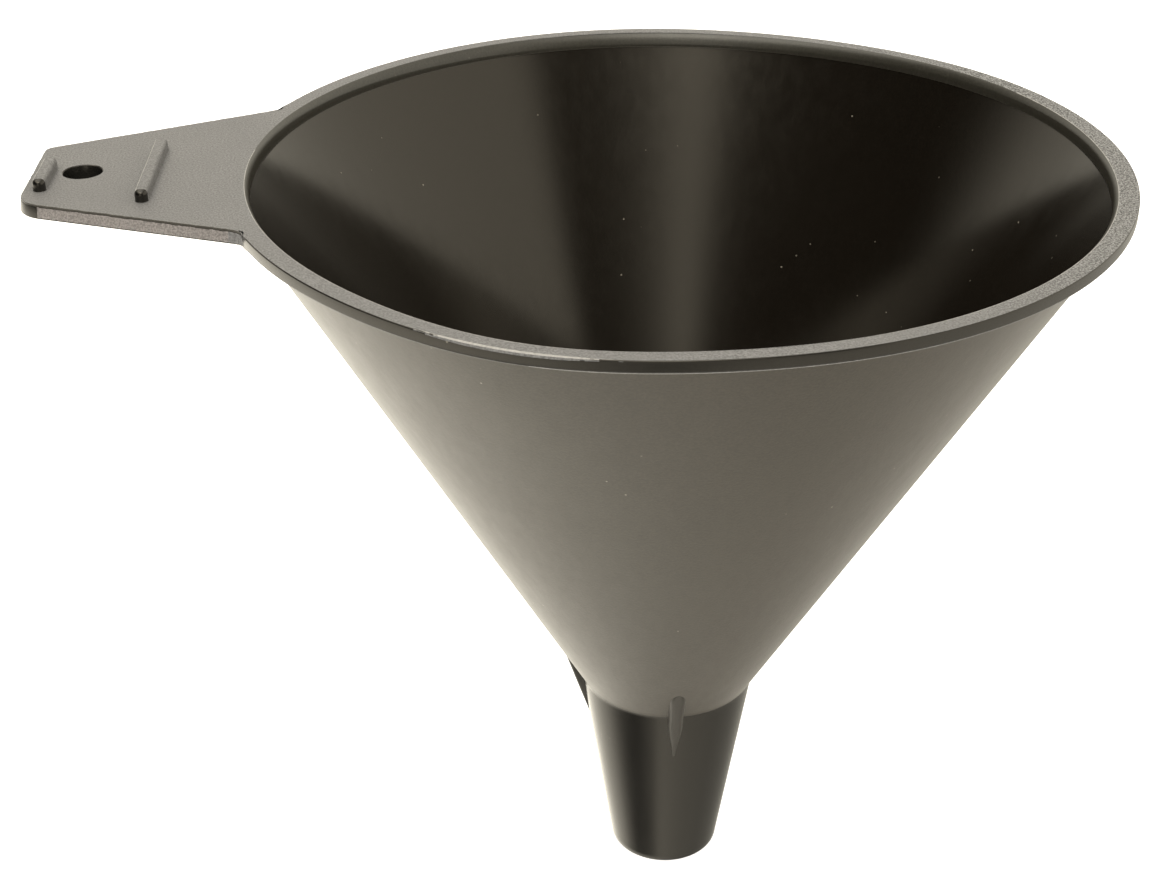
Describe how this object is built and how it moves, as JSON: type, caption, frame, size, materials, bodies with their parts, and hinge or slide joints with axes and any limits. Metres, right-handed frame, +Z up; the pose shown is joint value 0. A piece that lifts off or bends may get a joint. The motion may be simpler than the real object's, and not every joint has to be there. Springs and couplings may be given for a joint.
{
  "type": "funnel",
  "caption": "One-piece moulded plastic funnel: conical bowl with a flat grained rim, tapered spout with vent ribs, and a flat handle with a hanging hole and raised bars.",
  "frame": {"origin": "centre of the spout's outlet, at the bottom of the spout", "axes": "+Z up the funnel's axis to the mouth, -X towards the handle, so the handle side's near edge is at -Y when seen with the handle on the left"},
  "size_m": [0.1888, 0.1556, 0.1523],
  "materials": {
    "bowl": "satin",
    "mouth_lip": "smooth",
    "rim_flange": "grained",
    "handle_plate": "grained",
    "handle_bars": "grained top, smooth sides",
    "spout": "smooth",
    "vent_ribs": "smooth"
  },
  "bodies": {
    "root": {"bowl": "bowl", "mouth_lip": "mouth_lip", "rim_flange": "rim_flange", "handle_plate": "handle_plate", "handle_bar_outer": "handle_bars", "handle_bar_inner": "handle_bars", "spout": "spout", "vent_rib_handle_side": "vent_ribs", "vent_rib_front": "vent_ribs", "vent_rib_back": "vent_ribs"}
  },
  "joints": []
}
